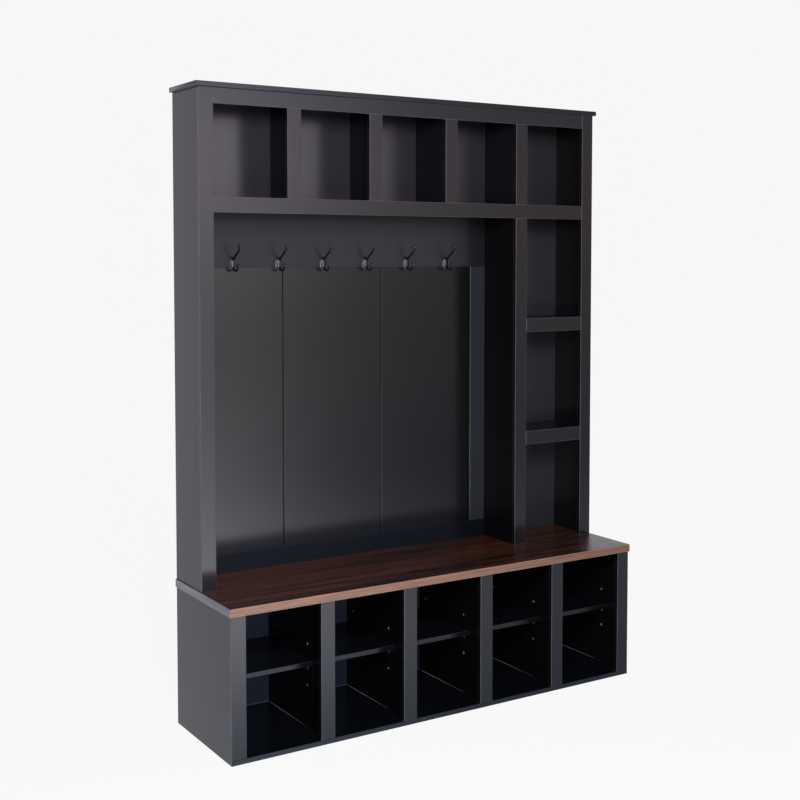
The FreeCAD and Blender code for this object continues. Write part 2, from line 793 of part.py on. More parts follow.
def check_all():
    """Stops if any object failed or any sub-part is not a sound solid."""
    doc.recompute()
    for item in doc.Objects:
        if "Invalid" in item.State or "Error" in item.State:
            raise ValueError(f"{item.Name} has failed")
    for piece in made:
        if piece.Shape.isNull() or not piece.Shape.isValid() or not piece.Shape.Solids:
            raise ValueError(f"{piece.Label} is not a sound solid")


check_all()
os.makedirs("parts", exist_ok=True)
for piece in made:
    piece.Shape.exportStep(os.path.join("parts", f"{piece.Label}.step"))
print(len(made), "sub-parts written")
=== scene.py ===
import math

import bpy
import numpy as np
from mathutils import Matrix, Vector


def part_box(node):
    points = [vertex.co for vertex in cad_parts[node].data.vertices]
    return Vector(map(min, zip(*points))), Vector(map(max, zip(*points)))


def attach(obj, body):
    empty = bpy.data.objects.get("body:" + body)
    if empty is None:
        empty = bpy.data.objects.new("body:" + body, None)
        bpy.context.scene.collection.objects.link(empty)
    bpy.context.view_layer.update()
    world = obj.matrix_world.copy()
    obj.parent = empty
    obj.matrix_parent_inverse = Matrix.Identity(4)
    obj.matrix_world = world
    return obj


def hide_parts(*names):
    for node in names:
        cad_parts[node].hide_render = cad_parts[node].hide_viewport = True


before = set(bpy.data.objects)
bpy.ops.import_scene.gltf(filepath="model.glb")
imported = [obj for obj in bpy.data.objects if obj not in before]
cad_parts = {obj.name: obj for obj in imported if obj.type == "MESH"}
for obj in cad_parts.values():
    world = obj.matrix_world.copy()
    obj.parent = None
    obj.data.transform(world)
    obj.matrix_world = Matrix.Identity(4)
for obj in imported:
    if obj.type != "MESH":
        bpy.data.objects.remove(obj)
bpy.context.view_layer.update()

# Hall stand with a bench, dressed in metres in the frame of its solids.
# Boards that show their edges are carried along their length with rounded corners. The coat hooks
# are drawn along the middle lines of their prongs. Lips round the open pin holes and thin pale
# beads of painted light in the floor corners of the bays are added. The other boards keep their
# solids.

BAYS = 5
CUBBIES = 5
HOOKS = 6
BACK_BOARDS = 4

# Axes that boards and joints run along.
ALONG_X, ALONG_Y, ALONG_Z = 0, 1, 2

# Small forms, in metres, and the angle of the first ring of a rounded end.
EDGE_ROUND = 0.0009
# Width over which the painted highlight on an edge fades out; the profiles' extra points lie
# there.
EDGE_HIGHLIGHT_FALLOFF = 0.0009
BENCH_ROUND = 0.0014
JOINT_ROUND = 0.0028
FINE_ROUND = 0.0005
CORNER_STEPS = 4
END_FIRST_ANGLE = 0.15


def numbered(name, count):
    """The names of a row of pieces, from name_1 to name_count."""
    return [f"{name}_{number}" for number in range(1, count + 1)]


def grid_faces(rings, around):
    """Quads of a closed tube of rings, and its two end faces.

    Corner (i, j) is point j of ring i; each quad joins (i, j), (i, j+1), (i+1, j+1), (i+1, j).
    """
    i, j = np.meshgrid(np.arange(rings - 1), np.arange(around), indexing="ij")
    near = i * around
    far = near + around
    following = (j + 1) % around
    quads = np.stack([near + j, near + following, far + following, far + j], -1)
    first_end = np.arange(around)[::-1]
    last_end = np.arange(around) + (rings - 1) * around
    return quads.reshape(-1, 4), (first_end, last_end)


def grid_uv(rings, around, across, along):
    """Texture places in metres: distance round the ring, then distance along the piece."""
    i, j = np.meshgrid(np.arange(rings - 1), np.arange(around), indexing="ij")
    round_ring = across[np.stack([j, j + 1, j + 1, j], -1)]
    down_piece = along[np.stack([i, i, i + 1, i + 1], -1)]
    quads = np.stack([round_ring, down_piece], -1).reshape(-1, 2)
    first_end = np.stack([across[:around][::-1], np.full(around, along[0])], -1)
    last_end = np.stack([across[:around], np.full(around, along[-1])], -1)
    return np.concatenate([quads, first_end, last_end])


class Shell:
    """Collects tubes of rings into one mesh with texture places and an edge value per point."""

    def __init__(self):
        self.points = []
        self.faces = []
        self.uv = []
        self.edge = []
        self.kind = []
        self.count = 0

    def tube(self, rings, across=None, along=None, edge=None, kind=None):
        """Adds a closed tube; rings is an array of rings by points round by three.

        Across and along are its texture places, edge its edge values and kind the material of
        each face.
        """
        number, around = rings.shape[:2]
        if across is None:
            across = np.linspace(0, 1, around + 1)
        if along is None:
            along = np.linspace(0, 1, number)
        quads, ends = grid_faces(number, around)
        self.faces += (quads + self.count).tolist() + [(end + self.count).tolist() for end in ends]
        self.points.append(rings.reshape(-1, 3))
        self.uv.append(grid_uv(number, around, across, along))
        self.edge.append(np.zeros(number * around) if edge is None else edge.reshape(-1))
        self.kind.append(np.zeros(len(quads) + 2, int) if kind is None else kind)
        self.count += number * around

    def piece(self, name, body, slot, *materials):
        """Makes the Blender object, which rides on a body and takes the given finishes; slot is
        not used.
        """
        mesh = bpy.data.meshes.new(name)
        mesh.from_pydata(np.concatenate(self.points), [], self.faces)
        layer = mesh.uv_layers.new(name="board_metres")
        layer.data.foreach_set("uv", np.concatenate(self.uv).astype(np.float32).ravel())
        value = mesh.attributes.new("edge_highlight", "FLOAT", "POINT")
        value.data.foreach_set("value", np.concatenate(self.edge).astype(np.float32))
        mesh.polygons.foreach_set("material_index", np.concatenate(self.kind).astype(np.int32))
        mesh.polygons.foreach_set("use_smooth", np.full(len(self.faces), True))
        mesh.update()
        thing = bpy.data.objects.new(name, mesh)
        bpy.context.scene.collection.objects.link(thing)
        for material in materials:
            mesh.materials.append(material)
        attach(thing, body)
        return thing


def rounded_profile(width, depth, radius, band):
    """A rectangle with round corners, walked counter-clockwise from its low corner.

    Each corner is a quarter circle between two points of the flats; past them lies one more point
    at a band's distance, where the edge value has fallen to nothing.
    """
    turn = np.linspace(0, math.pi / 2, CORNER_STEPS)
    corners = ((radius, radius, math.pi), (width - radius, radius, 1.5 * math.pi),
               (width - radius, depth - radius, 0.0), (radius, depth - radius, 0.5 * math.pi))
    places = []
    edges = []
    for across, up, start in corners:
        angle = start + turn
        arc = np.stack([across + radius * np.cos(angle), up + radius * np.sin(angle)], -1)
        before = arc[0] + band * np.array([math.sin(start), -math.cos(start)])
        after = arc[-1] + band * np.array([-math.sin(angle[-1]), math.cos(angle[-1])])
        places.append(np.concatenate([[before], arc, [after]]))
        edges.append(np.concatenate([[0.0], np.ones(CORNER_STEPS), [0.0]]))
    return np.concatenate(places), np.concatenate(edges)


def board_rings(low, high, axis, radius, band, end_radius):
    """A board between two corners, carried along one axis with its ends rounded over.

    A ring of an end stands in by e(1 - cos a) along the board and its outline is drawn in by
    e(1 - sin a), for angles a up to a right angle and e the end's radius.
    """
    low = np.array(low, float)
    size = np.array(high, float) - low
    one, two = (axis + 1) % 3, (axis + 2) % 3
    profile, profile_edge = rounded_profile(size[one], size[two], radius, band)
    angle = np.linspace(END_FIRST_ANGLE, math.pi / 2, CORNER_STEPS)
    stand_in = end_radius * (1 - np.cos(angle))
    draw_in = end_radius * (1 - np.sin(angle))
    flat = end_radius + band
    along = np.concatenate([stand_in, [flat, size[axis] - flat], size[axis] - stand_in[::-1]])
    inset = np.concatenate([draw_in, [0.0, 0.0], draw_in[::-1]])
    end_edge = np.concatenate([np.ones(CORNER_STEPS), [0.0, 0.0], np.ones(CORNER_STEPS)])
    middle = np.array([size[one], size[two]]) / 2
    shrink = 1 - inset[:, None, None] / middle
    outline = middle + (profile - middle) * shrink
    rings = np.empty((len(along), len(profile), 3))
    rings[..., one] = outline[..., 0]
    rings[..., two] = outline[..., 1]
    rings[..., axis] = along[:, None]
    edge = np.maximum(profile_edge[None, :], end_edge[:, None])
    steps = np.linalg.norm(np.diff(np.vstack([profile, profile[:1]]), axis=0), axis=1)
    across = np.concatenate([[0.0], np.cumsum(steps)])
    return rings + low, across, along, edge


def board(node, body, slot, axis, *materials, radius=EDGE_ROUND, end_radius=EDGE_ROUND, kind=None):
    """A board with rounded edges in the place of one node."""
    low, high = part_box(node)
    rings, across, along, edge = board_rings(low, high, axis, radius, EDGE_HIGHLIGHT_FALLOFF, end_radius)
    shell = Shell()
    shell.tube(rings, across, along, edge, None if kind is None else kind(rings))
    thing = shell.piece(f"{node}_board", body, slot, *materials)
    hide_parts(node)


# Helpers of the finishes.

def opaque(colour):
    """A colour with full cover, as colour sockets take it."""
    return (*colour, 1.0)


def grey(level):
    """An even grey."""
    return (level, level, level)


class Nodes:
    """Adds nodes to a tree, sets their sockets and joins them."""

    def __init__(self, tree):
        self.tree = tree

    def put(self, node, sockets):
        """Sets or joins inputs of a node, by their names or numbers."""
        for key, value in sockets.items():
            if isinstance(value, bpy.types.NodeSocket):
                self.tree.links.new(value, node.inputs[key])
            else:
                node.inputs[key].default_value = value

    def add(self, kind, sockets=None, **settings):
        """A new node with its settings and its inputs."""
        node = self.tree.nodes.new(kind)
        for key, value in settings.items():
            setattr(node, key, value)
        self.put(node, sockets or {})
        return node

    def maths(self, operation, *values, clamp=False):
        """A sum, product or the like of values."""
        sockets = dict(enumerate(values))
        return self.add("ShaderNodeMath", sockets, operation=operation, use_clamp=clamp).outputs[0]

    def vector_maths(self, operation, one, two):
        """A sum or product of two vectors or colours."""
        return self.add("ShaderNodeVectorMath", {0: one, 1: two}, operation=operation).outputs[0]

    def split(self, vector):
        """The three parts of a vector."""
        return self.add("ShaderNodeSeparateXYZ", {0: vector}).outputs

    def join(self, *parts):
        """A vector of three parts."""
        return self.add("ShaderNodeCombineXYZ", dict(enumerate(parts))).outputs[0]

    def coordinates(self, kind):
        """One of the built-in kinds of coordinates."""
        return self.add("ShaderNodeTexCoord").outputs[kind]

    def mix(self, factor, one, two):
        """A colour between two colours, which are inputs 6 and 7 of the node."""
        return self.add("ShaderNodeMix", {0: factor, 6: one, 7: two}, data_type="RGBA").outputs[2]

    def share(self, value, low, high):
        """How far a value has come from low to high, kept between 0 and 1."""
        # The inputs are the value, the range it comes from and the range it goes to.
        sockets = {0: value, 1: low, 2: high, 3: 0.0, 4: 1.0}
        return self.add("ShaderNodeMapRange", sockets).outputs[0]

    def noise(self, vector, scale, detail, roughness, distortion=0.0):
        """A noise over some coordinates."""
        return self.add("ShaderNodeTexNoise", {
            "Vector": vector, "Scale": scale, "Detail": detail, "Roughness": roughness,
            "Distortion": distortion}).outputs[0]

    def ramp(self, value, *stops, ease=False):
        """Colours laid along a value at the places of the stops, joined by lines or smoothly."""
        node = self.add("ShaderNodeValToRGB", {0: value})
        elements = node.color_ramp.elements
        while len(elements) < len(stops):
            elements.new(0.5)
        for element, (place, colour) in zip(elements, stops):
            element.position = place
            element.color = opaque(colour)
        if ease:
            node.color_ramp.interpolation = "EASE"
        return node.outputs[0]

    def mask(self, value, low, high, least=0.0):
        """A level that rises from its least at a low value to 1 at a high one."""
        return self.ramp(value, (low, grey(least)), (high, grey(1.0)))

    def use(self, group, sockets):
        """One of the shared node groups."""
        node = self.add("ShaderNodeGroup")
        node.node_tree = group
        self.put(node, sockets)
        return node.outputs


def new_group(name, inputs, outputs):
    """An empty node group with named sockets, and its own input and output nodes."""
    group = bpy.data.node_groups.new(name, "ShaderNodeTree")
    for label, kind, value in inputs:
        socket = group.interface.new_socket(label, in_out="INPUT", socket_type=kind)
        if value is not None:
            socket.default_value = value
    for label in outputs:
        group.interface.new_socket(label, in_out="OUTPUT", socket_type="NodeSocketFloat")
    nodes = Nodes(group)
    return nodes, nodes.add("NodeGroupInput").outputs, nodes.add("NodeGroupOutput")


PORE_FINENESS = (7.0, 5.0, 7.0)


def grain_group():
    """Streaks along the second coordinate: a stretched noise, with finer pores over it."""
    nodes, inner, outer = new_group("board_grain", (
        ("Place", "NodeSocketVector", None),
        ("Across", "NodeSocketFloat", 60.0),
        ("Along", "NodeSocketFloat", 3.0),
        ("Waver", "NodeSocketFloat", 0.4),
    ), ("Streak", "Pore"))
    parts = nodes.split(inner["Place"])
    across = nodes.maths("MULTIPLY", parts[0], inner["Across"])
    along = nodes.maths("MULTIPLY", parts[1], inner["Along"])
    deep = nodes.maths("MULTIPLY", parts[2], inner["Across"])
    place = nodes.join(across, along, deep)
    streak = nodes.noise(place, scale=1.0, detail=5.0, roughness=0.62, distortion=inner["Waver"])
    fine = nodes.vector_maths("MULTIPLY", place, PORE_FINENESS)
    pore = nodes.noise(fine, scale=1.0, detail=2.0, roughness=0.7)
    nodes.put(outer, {
        "Streak": nodes.mask(streak, low=0.3, high=0.7),
        "Pore": nodes.mask(pore, low=0.44, high=0.62),
    })
    return nodes.tree


def edge_highlight_group():
    """A painted highlight line on a board's edges, broken a little along its length, from the edge
    value of a board.
    """
    nodes, inner, outer = new_group("edge_highlight", (
        ("Place", "NodeSocketVector", None),
        ("Strength", "NodeSocketFloat", 0.8),
    ), ("Mask",))
    edge = nodes.add("ShaderNodeAttribute", attribute_name="edge_highlight").outputs["Fac"]
    uneven = nodes.noise(inner["Place"], scale=9.0, detail=3.0, roughness=0.6)
    line = nodes.maths("MULTIPLY", edge, nodes.mask(uneven, low=0.3, high=0.6, least=0.55))
    nodes.put(outer, {"Mask": nodes.maths("MULTIPLY", line, inner["Strength"], clamp=True)})
    return nodes.tree


GRAIN = grain_group()
EDGE_HIGHLIGHT = edge_highlight_group()


def new_material(name):
    """A material with its nodes and its Principled shader."""
    material = bpy.data.materials.new(name)
    material.use_nodes = True
    return material, Nodes(material.node_tree), material.node_tree.nodes["Principled BSDF"]


def grain_place(nodes, run):
    """Coordinates whose second one runs with the grain: the board's own, or up, or along x."""
    if run == "board":
        return nodes.add("ShaderNodeUVMap", uv_map="board_metres").outputs[0]
    parts = nodes.split(nodes.coordinates("Object"))
    order = {"up": (ALONG_X, ALONG_Z, ALONG_Y), "along": (ALONG_Z, ALONG_X, ALONG_Y)}[run]
    return nodes.join(*[parts[axis] for axis in order])


def grain(nodes, place, across, along, waver):
    """Streaks and pores, so many to the metre across and along the grain."""
    return nodes.use(GRAIN, {"Place": place, "Across": across, "Along": along, "Waver": waver})


def lay_over(nodes, tint, mask, cover, colour):
    """A tint with a colour laid over it where the mask is, covering it as far as cover says."""
    return nodes.mix(nodes.maths("MULTIPLY", mask, cover), tint, opaque(colour))


def paint_edge_highlight(nodes, tint, place, strength, colour):
    """A tint with a thin painted highlight line of a colour on the board's edges."""
    line = nodes.use(EDGE_HIGHLIGHT, {"Place": place, "Strength": strength})
    return nodes.mix(line["Mask"], tint, opaque(colour))


def gloss_of(nodes, mask, spread, roughness):
    """Roughness that grows by its spread where the mask is."""
    return nodes.maths("MULTIPLY_ADD", mask, spread, roughness)


def relief_of(nodes, height, strength, depth):
    """The normal of a fine relief, so deep in metres."""
    bump = nodes.add("ShaderNodeBump", {"Strength": strength, "Distance": depth, "Height": height})
    return bump.outputs[0]


# The finishes, and how dark their pores or uneven places are beside their tone.
LAMINATE_PORE_SHADE = 0.6
PLAIN_SHADE = 0.8


def laminate(name, colour, light, run, roughness=0.20, ior=1.45, edge=None, line=0.8, relief=0.0):
    """Charcoal facing with a fine grain; edge is the colour of the thin painted highlight line on
    its edges.
    """
    material, nodes, shader = new_material(name)
    place = grain_place(nodes, run)
    fine = grain(nodes, place, across=160.0, along=5.0, waver=0.5)
    shaded = [part * LAMINATE_PORE_SHADE for part in colour]
    tint = nodes.mix(fine["Streak"], opaque(colour), opaque(light))
    tint = lay_over(nodes, tint, fine["Pore"], cover=0.12, colour=shaded)
    if edge:
        tint = paint_edge_highlight(nodes, tint, place, line, edge)
    nodes.put(shader, {
        "Base Color": tint,
        "Roughness": gloss_of(nodes, fine["Pore"], spread=0.02, roughness=roughness),
        "Normal": relief_of(nodes, fine["Pore"], strength=relief, depth=0.0001),
        "IOR": ior,
    })
    return material


def walnut(name, dark, light, vein, pore, arris_highlight):
    """Dark walnut: long wavering streaks, darker veins and fine pores along the bench."""
    material, nodes, shader = new_material(name)
    place = grain_place(nodes, "board")
    broad = grain(nodes, place, across=26.0, along=0.8, waver=1.0)
    fine = grain(nodes, place, across=130.0, along=5.0, waver=0.5)
    streak = nodes.mask(broad["Streak"], low=0.22, high=0.78)
    tint = nodes.mix(streak, opaque(dark), opaque(light))
    tint = lay_over(nodes, tint, fine["Streak"], cover=0.25, colour=vein)
    tint = lay_over(nodes, tint, fine["Pore"], cover=0.35, colour=pore)
    nodes.put(shader, {
        # A painted highlight runs along the rounded edges.
        "Base Color": paint_edge_highlight(nodes, tint, place, strength=0.5, colour=arris_highlight),
        "Roughness": gloss_of(nodes, fine["Pore"], spread=0.1, roughness=0.22),
        "Normal": relief_of(nodes, fine["Pore"], strength=0.3, depth=0.0003),
        "IOR": 1.38,
    })
    return material


def walnut_band(name, dark, light, pore, arris_highlight):
    """Edge band of the bench: level streaks and painted pale highlights on its arrises."""
    material, nodes, shader = new_material(name)
    place = grain_place(nodes, "board")
    fine = grain(nodes, place, across=240.0, along=5.0, waver=0.8)
    tint = nodes.mix(fine["Streak"], opaque(dark), opaque(light))
    tint = lay_over(nodes, tint, fine["Pore"], cover=0.4, colour=pore)
    nodes.put(shader, {
        "Base Color": paint_edge_highlight(nodes, tint, place, strength=0.6, colour=arris_highlight),
        "Roughness": 0.25,
        "Normal": relief_of(nodes, fine["Pore"], strength=0.2, depth=0.0002),
        "IOR": 1.6,
    })
    return material


def plain_finish(name, colour, roughness, metallic=0.0, ior=1.5):
    """A painted or plated finish, uneven in tone and gloss from place to place."""
    material, nodes, shader = new_material(name)
    uneven = nodes.noise(nodes.coordinates("Object"), scale=90.0, detail=3.0, roughness=0.6)
    shaded = [part * PLAIN_SHADE for part in colour]
    nodes.put(shader, {
        "Base Color": nodes.mix(uneven, opaque(shaded), opaque(colour)),
        "Roughness": gloss_of(nodes, uneven, spread=0.12, roughness=roughness),
        "Metallic": metallic,
        "IOR": ior,
    })
    return material


# Tones of the facings, as shares of light given back in red, green and blue.
CHARCOAL = (0.0038, 0.0038, 0.0044)
CHARCOAL_LIGHT = (0.0052, 0.0050, 0.0057)
HOOK_RAIL = (0.0110, 0.0100, 0.0116)
PANEL = (0.0270, 0.0240, 0.0280)
PANEL_LIGHT = (0.0290, 0.0260, 0.0300)
COLUMN_PANEL = (0.0275, 0.0280, 0.0335)
COLUMN_PANEL_LIGHT = (0.0290, 0.0295, 0.0350)
# Painted light: a lighter, purplish copy of the charcoal for the cubby dividers.
CUBBY_SIDE_PAINTED_LIGHT = (0.0085, 0.0075, 0.0125)
# Painted reflection: the navy of the base back panel stands in for the blue it reflects in the
# bays.
PAINTED_NAVY_REFLECTION = (0.0420, 0.0570, 0.0820)
PAINTED_NAVY_REFLECTION_LIGHT = (0.0440, 0.0600, 0.0860)
SHELF = (0.0045, 0.0060, 0.0090)
# Painted reflection: the bluish cast of the lower back rail.
RAIL_PAINTED_BLUE = (0.0048, 0.0072, 0.0104)
# Painted highlights: pale lines where light catches rounded edges and seams.
EDGE_HIGHLIGHT_GREY = (0.10, 0.10, 0.115)
SEAM_HIGHLIGHT_GREY = (0.050, 0.053, 0.066)
# Painted reflection: the lighter, bluer tone of the last back board.
SLATE_PAINTED_REFLECTION = (0.025, 0.028, 0.034)
SLATE_PAINTED_REFLECTION_LIGHT = (0.028, 0.031, 0.038)

# Sides, dividers and level boards of the carcase.
carcase = laminate("carcase_laminate", CHARCOAL, CHARCOAL_LIGHT, "up", ior=1.38, relief=0.03)
carcase_level = laminate(
    "carcase_laminate_level", CHARCOAL, CHARCOAL_LIGHT, "along", ior=1.38, relief=0.03)
divider_finish = laminate("divider_laminate", CHARCOAL, CHARCOAL, "up", roughness=0.22, ior=1.22)
# The cubby dividers' purplish tone is painted light on the same charcoal board.
cubby_side = laminate(
    "cubby_divider_painted_light", CUBBY_SIDE_PAINTED_LIGHT, CUBBY_SIDE_PAINTED_LIGHT, "up", roughness=0.22, ior=1.22)
base_floor = laminate("base_floor_laminate", CHARCOAL, SHELF, "along", roughness=0.16, ior=1.5)

# Stiles and rails, crown board and shelves, with painted highlight lines along their edges.
facing = laminate(
    "frame_laminate", CHARCOAL, CHARCOAL_LIGHT, "board", edge=EDGE_HIGHLIGHT_GREY, relief=0.12)
crown_facing = laminate(
    "crown_laminate", CHARCOAL, CHARCOAL_LIGHT, "board", ior=1.42, edge=EDGE_HIGHLIGHT_GREY, line=0.25,
    relief=0.03)
shelf_facing = laminate(
    "shelf_laminate", CHARCOAL, SHELF, "board", roughness=0.26, ior=1.36, edge=SEAM_HIGHLIGHT_GREY, line=0.3)

# Boards behind the coats.
backing = laminate(
    "back_laminate", CHARCOAL, CHARCOAL_LIGHT, "board", roughness=0.16, ior=1.37)
# The last back board is a lighter, bluer copy of the back laminate: a painted reflection.
end_backing = laminate("end_board_painted_reflection", SLATE_PAINTED_REFLECTION, SLATE_PAINTED_REFLECTION_LIGHT, "board", roughness=0.16)
hook_backing = laminate(
    "hook_rail_laminate", HOOK_RAIL, HOOK_RAIL, "board", roughness=0.38, ior=1.37)
# The lower rail's bluish tint is a painted reflection, not its own colour.
low_backing = laminate(
    "lower_rail_painted_blue", RAIL_PAINTED_BLUE, RAIL_PAINTED_BLUE, "board", roughness=0.16, ior=1.28, edge=SEAM_HIGHLIGHT_GREY,
    line=0.3)

# Panels behind the cubbies, the column and the base.
back_panel = laminate("back_panel_laminate", PANEL, PANEL_LIGHT, "up", roughness=0.25)
column_panel = laminate(
    "column_panel_laminate", COLUMN_PANEL, COLUMN_PANEL_LIGHT, "up", roughness=0.24)
# The base panel's navy is a painted reflection on the dark board.
base_panel = laminate("base_panel_painted_reflection", PAINTED_NAVY_REFLECTION, PAINTED_NAVY_REFLECTION_LIGHT, "up", roughness=0.28, ior=1.5)

# Bench board: its faces, its front and back band, and the band of its ends, whose bluish grey is a
# painted reflection of the pale backdrop.
bench_face = walnut(
    "bench_walnut", dark=(0.0160, 0.0066, 0.0054), light=(0.118, 0.038, 0.016),
    vein=(0.022, 0.0090, 0.0055), pore=(0.007, 0.004, 0.003), arris_highlight=(0.30, 0.19, 0.15))
bench_band = walnut_band(
    "bench_band", dark=(0.15, 0.059, 0.025), light=(0.40, 0.174, 0.084),
    pore=(0.105, 0.040, 0.020), arris_highlight=(0.54, 0.40, 0.34))
# The ends' bluish grey is a painted reflection of the pale backdrop, not the band's own colour.
bench_end_reflection = walnut_band(
    "bench_end_painted_reflection", dark=(0.080, 0.095, 0.125), light=(0.120, 0.140, 0.180),
    pore=(0.070, 0.080, 0.105), arris_highlight=(0.24, 0.26, 0.32))

# Hooks, shelf supports, pin holes and the painted light in the floor corners of the bays.
hook_black = plain_finish("hook_black", (0.004, 0.004, 0.0045), roughness=0.09, ior=1.7)
zinc = plain_finish("support_zinc", (0.62, 0.62, 0.63), roughness=0.3, metallic=1.0)
hole_lip = plain_finish("pin_hole_lip", (0.80, 0.80, 0.82), roughness=0.5)
corner_light_finish = plain_finish("painted_corner_light", (0.50, 0.51, 0.58), roughness=0.5)


# Stiles, rails, crown board and shelves.
stiles = numbered("base_stile", BAYS + 1) + ["left_stile", "right_stile", "column_stile"]
for node in stiles + numbered("cubby_stile", CUBBIES - 1):
    board(node, "stand", "frame_laminate", ALONG_Z, facing)
for node in ("top_rail", "cubby_rail", "column_rail_1", "column_rail_2"):
    board(node, "stand", "frame_laminate", ALONG_X, facing)
board("crown_board", "stand", "frame_laminate", ALONG_X, crown_facing)
for node, body in zip(numbered("adjustable_shelf", BAYS), numbered("shelf", BAYS)):
    board(node, body, "carcase_laminate", ALONG_X, shelf_facing)


# Bench board: walnut above and below, the red-brown band in front and behind, and at the ends a
# grey that is a painted reflection of the backdrop.
BENCH_END_KIND = 2


def bench_kind(rings):
    """0 on the faces that look up or down, 1 on the front and back, 2 on the ends."""
    run = np.roll(rings[:-1], -1, axis=1) - rings[:-1]
    upright = np.abs(run[..., ALONG_Z]) > np.abs(run[..., ALONG_Y])
    return np.concatenate([upright.reshape(-1).astype(int), [BENCH_END_KIND] * 2])


bench_finishes = (bench_face, bench_band, bench_end_reflection)
board("bench_top", "stand", "bench_walnut", ALONG_X, *bench_finishes,
      radius=BENCH_ROUND, kind=bench_kind)

# Boards behind the coats: fine joints between uprights, and hardly any under the hook rail.
back_finishes = [backing] * (BACK_BOARDS - 1) + [end_backing]
for node, finish in zip(numbered("back_board", BACK_BOARDS), back_finishes):
    board(node, "stand", "back_laminate", ALONG_Z, finish,
          radius=JOINT_ROUND, end_radius=FINE_ROUND)
for node, finish in (("hook_rail", hook_backing), ("lower_back_rail", low_backing)):
    board(node, "stand", "back_laminate", ALONG_X, finish,
          radius=FINE_ROUND, end_radius=FINE_ROUND)


# Coat hooks, in metres from the middle of the plate. A bend is a radius, the new direction in
# degrees above level and the straight after it. A tip is its width and height. A place of the
# rim or of the dome's foot is how far it is drawn in and how far it stands off the board.
PRONG_RADIUS = 0.003
PRONG_STUB = 0.006
UPPER_ROOT = 0.0145
UPPER_BENDS = ((0.014, 34.0, 0.044), (0.015, 72.0, 0.006))
UPPER_TIP = (0.010, 0.015)
LOWER_ROOT = -0.013
LOWER_BENDS = ((0.012, -38.0, 0.003), (0.018, 78.0, 0.003))
LOWER_TIP = (0.010, 0.012)
TIP_FIRST_ANGLE = -math.pi / 2 + 0.1
TIP_LAST_ANGLE = math.pi / 2 - 0.06
PLATE_WIDTH = 0.024
PLATE_HEIGHT = 0.046
PLATE_RIM = ((0.0, 0.0), (0.0, 0.0010), (0.0004, 0.0014), (0.0017, 0.0014))
DOME_FOOT = (0.0018, 0.0014)
DOME_HALF_WIDTH = 0.0098
DOME_RISE = 0.0032
DOME_FIRST_SHARE = 0.25


def prong_route(root, bends, steps=10):
    """Middle line of a prong as places out from the board and up, with its directions.

    The line starts level and is straight runs joined by tangent arcs.
    """
    out, up, heading = PRONG_STUB, root, 0.0
    places = [(0.0, root, 0.0), (out, up, heading)]
    for radius, degrees, run in bends:
        goal = math.radians(degrees)
        side = 1 if goal > heading else -1
        angle = np.linspace(heading, goal, steps)[1:]
        middle = (out - side * radius * math.sin(heading), up + side * radius * math.cos(heading))
        arc_out = middle[0] + side * radius * np.sin(angle)
        arc_up = middle[1] - side * radius * np.cos(angle)
        places += list(zip(arc_out, arc_up, angle))
        out = arc_out[-1] + run * math.cos(goal)
        up = arc_up[-1] + run * math.sin(goal)
        heading = goal
        places.append((out, up, heading))
    return np.array(places)


def prong_rings(route, tip_width, tip_height, around=20, steps=16):
    """A round bar along its route that swells into an egg-shaped tip.

    At a distance s from the middle of the tip the tip's radius is w/2 sqrt(1 - (2s/h)^2), with w
    and h its width and height; the larger of this and the bar's own radius is taken.
    """
    out, up, heading = route[-1]
    reach = np.sin(np.linspace(TIP_FIRST_ANGLE, TIP_LAST_ANGLE, steps)) * tip_height / 2
    tip_out = out + reach * math.cos(heading)
    tip_up = up + reach * math.sin(heading)
    tip = np.stack([tip_out, tip_up, np.full(steps, heading)], -1)
    swell = tip_width / 2 * np.sqrt(1 - (2 * reach / tip_height) ** 2)
    swell = np.where(reach < 0, np.maximum(swell, PRONG_RADIUS), swell)
    distance = np.linalg.norm(route[:, :2] - route[-1, :2], axis=1)
    body = route[distance > tip_height / 2]
    places = np.concatenate([body, tip])
    radius = np.concatenate([np.full(len(body), PRONG_RADIUS), swell])[:, None]
    turn = np.linspace(0, 2 * math.pi, around, endpoint=False)
    out, up, heading = places.T[:, :, None]
    lift = radius * np.cos(turn)
    rings = np.empty((len(places), around, 3))
    rings[..., 0] = radius * np.sin(turn)
    rings[..., 1] = lift * np.sin(heading) - out
    rings[..., 2] = up + lift * np.cos(heading)
    return rings


def plate_rings(around=48, dome_steps=10):
    """An oval plate: each ring is the oval drawn in by a distance, at a height off the board.

    Inside a flat rim the dome follows a quarter of an ellipse: drawn in by r + d(1 - cos a), it
    stands t + h sin a high, with r and t the dome's foot, d its half width and h its rise.
    """
    foot_in, foot_up = DOME_FOOT
    angle = np.linspace(DOME_FIRST_SHARE, 1.0, dome_steps) * math.pi / 2
    dome_in = foot_in + DOME_HALF_WIDTH * (1 - np.cos(angle))
    dome_up = foot_up + DOME_RISE * np.sin(angle)
    steps = np.concatenate([PLATE_RIM, np.stack([dome_in, dome_up], -1)])
    turn = np.linspace(0, 2 * math.pi, around, endpoint=False)
    rings = np.empty((len(steps), around, 3))
    rings[..., 0] = (PLATE_WIDTH / 2 - steps[:, :1]) * np.cos(turn)
    rings[..., 1] = -steps[:, 1:]
    rings[..., 2] = (PLATE_HEIGHT / 2 - steps[:, :1]) * np.sin(turn)
    return rings


# The three closed forms of a hook.
HOOK_FORMS = (
    plate_rings(),
    prong_rings(prong_route(UPPER_ROOT, UPPER_BENDS), *UPPER_TIP),
    prong_rings(prong_route(LOWER_ROOT, LOWER_BENDS), *LOWER_TIP),
)


